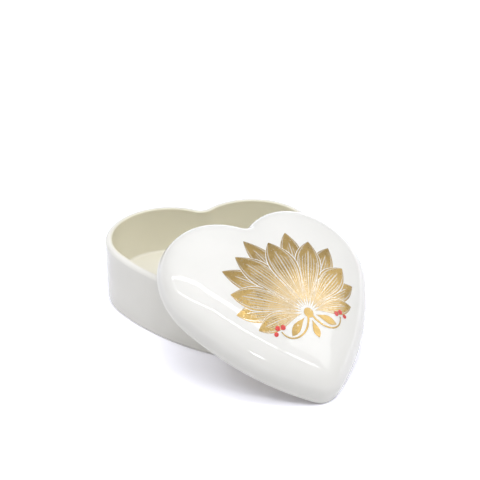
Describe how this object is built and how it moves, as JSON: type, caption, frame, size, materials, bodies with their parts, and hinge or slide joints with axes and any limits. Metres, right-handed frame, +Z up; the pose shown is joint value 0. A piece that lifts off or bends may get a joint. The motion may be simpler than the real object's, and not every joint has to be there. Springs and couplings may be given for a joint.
{
  "type": "wind-up music box",
  "caption": "Heart-shaped porcelain box whose domed lid leans on the open base and holds a wind-up comb-and-cylinder movement with a winged key underneath.",
  "frame": {"origin": "on the table under the base, on the plane of its foot ring and midway between the centres of the heart's two lobes", "axes": "+Z up; +Y from the heart's point towards its notch; +X to the right of the heart seen from above"},
  "size_m": [0.1383, 0.1577, 0.068],
  "materials": {
    "base_porcelain": "glossy ivory glaze, bare ground foot ring",
    "lid_porcelain": "glossy white glaze with a gilt and red ornament",
    "ivory_plastic": "matte ivory",
    "zinc": "satin die-cast grey",
    "nickel": "polished nickel",
    "brass": "satin brass",
    "spring_steel": "blued satin",
    "steel": "satin",
    "gilt": "polished gilt",
    "nylon": "moulded off-white"
  },
  "bodies": {
    "base": {"base_bowl": "base_porcelain"},
    "lid": {"lid_shell": "lid_porcelain", "closing_plate": "ivory_plastic", "bedplate": "zinc", "mounting_screws": "nickel", "arbor_bush": "brass", "wrap_spring": "spring_steel", "front_bracket": "zinc", "rear_bracket": "zinc", "bracket_screws": "nickel", "comb": "spring_steel", "comb_screws": "nickel", "governor_frame": "zinc", "governor_screws": "nickel", "stop_post": "brass"},
    "winding": {"winding_key": "gilt", "winding_arbor": "steel", "retaining_clip": "spring_steel"},
    "drum": {"spring_drum": "brass", "drum_cap": "brass", "mainspring": "spring_steel"},
    "cylinder": {"cylinder_tube": "brass", "cylinder_pins": "spring_steel", "cylinder_ends": "brass", "cylinder_arbor": "steel", "cylinder_pinion": "brass", "cylinder_gear": "brass"},
    "governor": {"governor_wheel": "nylon", "governor_pinion": "brass", "governor_arbor": "steel"},
    "fly": {"worm_shaft": "nylon", "fan": "nylon"},
    "stop": {"stop_lever": "steel"}
  },
  "joints": [
    {"name": "lid_lift", "type": "slide", "parent": "base", "child": "lid", "axis": [0, 0, 1], "range_m": [0, 0.08]},
    {"name": "key_wind", "type": "hinge", "parent": "lid", "child": "winding", "pos_m": [0.02818, -0.08345, 0.02986], "axis": [0.3096, -0.4079, 0.859], "range_deg": [0, 1800]},
    {"name": "barrel_turn", "type": "hinge", "parent": "lid", "child": "drum", "pos_m": [0.02818, -0.08345, 0.02986], "axis": [0.3096, -0.4079, 0.859], "continuous": true},
    {"name": "cylinder_turn", "type": "hinge", "parent": "lid", "child": "cylinder", "pos_m": [0.0251, -0.07183, 0.04196], "axis": [-0.2765, 0.8257, 0.4917], "continuous": true},
    {"name": "governor_turn", "type": "hinge", "parent": "lid", "child": "governor", "pos_m": [0.03264, -0.07199, 0.03916], "axis": [-0.2765, 0.8257, 0.4917], "continuous": true},
    {"name": "fan_spin", "type": "hinge", "parent": "lid", "child": "fly", "pos_m": [0.03662, -0.07029, 0.03853], "axis": [0.3096, -0.4079, 0.859], "continuous": true},
    {"name": "stop_swing", "type": "hinge", "parent": "lid", "child": "stop", "pos_m": [0.03895, -0.07325, 0.032], "axis": [0.3096, -0.4079, 0.859], "range_deg": [0, 7.4]}
  ],
  "couplings": [
    {"joint": "cylinder_turn", "follows": "barrel_turn", "ratio": 3.6},
    {"joint": "governor_turn", "follows": "barrel_turn", "ratio": -12.6},
    {"joint": "fan_spin", "follows": "barrel_turn", "ratio": -113.4}
  ]
}
